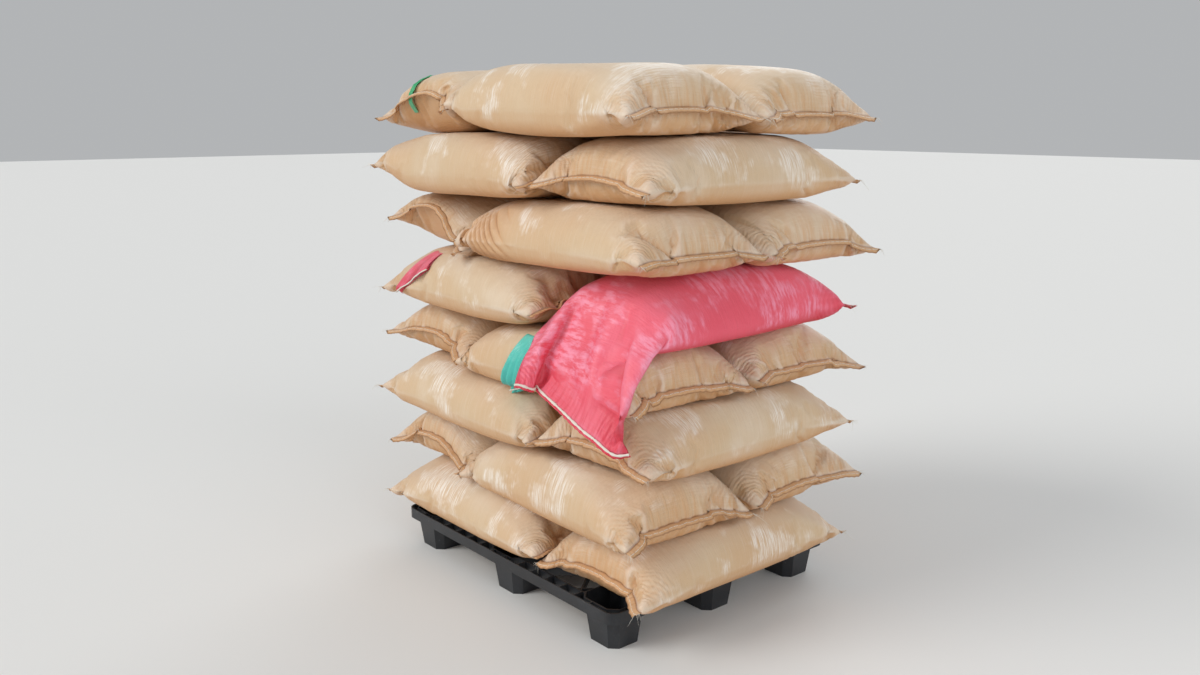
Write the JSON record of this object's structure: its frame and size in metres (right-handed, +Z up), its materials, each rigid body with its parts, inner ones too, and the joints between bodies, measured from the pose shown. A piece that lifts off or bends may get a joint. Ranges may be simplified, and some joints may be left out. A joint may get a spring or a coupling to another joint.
{
  "type": "pallet of sacks",
  "caption": "Loaded pallet: full woven grain sacks stacked in crossed layers on a black nestable plastic pallet with open fork ways.",
  "frame": {"origin": "on the floor, under the middle of the outline of the whole load", "axes": "+Z up, +X along the pallet's long side, and -Y out of the side towards which the crosswise sacks' sewn mouths point"},
  "size_m": [1.4894, 1.1352, 1.754],
  "materials": {
    "pallet_plastic": "satin, scuffed, dusty",
    "tan_weave": "woven polypropylene tape, soft sheen",
    "red_weave": "woven polypropylene tape, soft sheen",
    "teal_weave": "woven polypropylene tape, soft sheen"
  },
  "bodies": {
    "root": {"pallet": "pallet_plastic", "sack_1_front": "tan_weave", "sack_1_back": "tan_weave", "sack_1_cross": "tan_weave", "sack_2_front": "tan_weave", "sack_2_back": "tan_weave", "sack_2_cross": "tan_weave", "sack_3_front": "tan_weave", "sack_3_back": "tan_weave", "sack_3_cross": "tan_weave", "sack_4_front": "tan_weave", "sack_4_back": "tan_weave", "sack_4_cross": "tan_weave", "sack_5_front": "tan_weave", "sack_5_back": "tan_weave", "red_sack_5_cross": "red_weave", "sack_6_front": "tan_weave", "sack_6_back": "tan_weave", "sack_6_cross": "tan_weave", "sack_7_front": "tan_weave", "sack_7_back": "tan_weave", "sack_7_cross": "tan_weave", "sack_8_front": "tan_weave", "sack_8_back": "tan_weave", "sack_8_cross": "tan_weave", "red_sack_corner": "red_weave", "teal_sack_corner": "teal_weave"}
  },
  "joints": []
}
